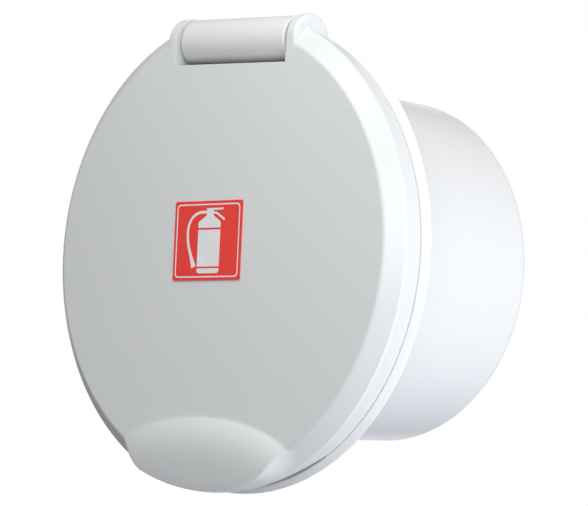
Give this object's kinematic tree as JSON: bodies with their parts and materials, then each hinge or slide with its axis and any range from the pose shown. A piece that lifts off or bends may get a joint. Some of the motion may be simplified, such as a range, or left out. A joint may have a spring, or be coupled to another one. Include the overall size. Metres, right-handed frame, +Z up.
{
  "type": "recessed fire blanket case",
  "caption": "Round white recessed case with a top-hinged lid and thumb lip, holding a rolled fire blanket with pull tapes.",
  "frame": {"origin": "on the axis of the round case, in the plane of the panel it is mounted in, which is the back face of the gasket behind the flange", "axes": "-Y is the front, which the lid faces; +Y goes into the panel along the drum; +Z is up, with the hinge at the top"},
  "size_m": [0.199, 0.1189, 0.198],
  "materials": {
    "case_white": "smooth satin-gloss white ABS",
    "lid_white": "smooth satin-gloss white ABS",
    "foam": "closed-cell foam rubber",
    "rubber": "soft black rubber",
    "steel": "stainless steel",
    "acetal": "natural white acetal",
    "sign_red": "red self-adhesive vinyl",
    "glass_cloth": "woven glass-fibre cloth",
    "red_elastic": "woven elastic",
    "webbing": "black woven webbing"
  },
  "bodies": {
    "case": {"housing": "case_white", "mounting_gasket": "foam", "rim_seal": "rubber", "hinge_bush_left": "acetal", "hinge_bush_right": "acetal", "catch_clip": "acetal", "catch_screw": "steel", "blanket": "glass_cloth", "blanket_band": "red_elastic", "pull_tape_left": "webbing", "pull_tape_right": "webbing", "mounting_screw_1": "steel", "mounting_screw_2": "steel", "mounting_screw_3": "steel", "mounting_screw_4": "steel", "mounting_screw_5": "steel", "mounting_screw_6": "steel"},
    "lid": {"lid": "lid_white", "hinge_pin": "steel", "sign_plate": "sign_red"}
  },
  "joints": [
    {"name": "lid_hinge", "type": "hinge", "parent": "case", "child": "lid", "pos_m": [0, -0.01295, 0.088], "axis": [-1, 0, 0], "range_deg": [0, 175]}
  ]
}
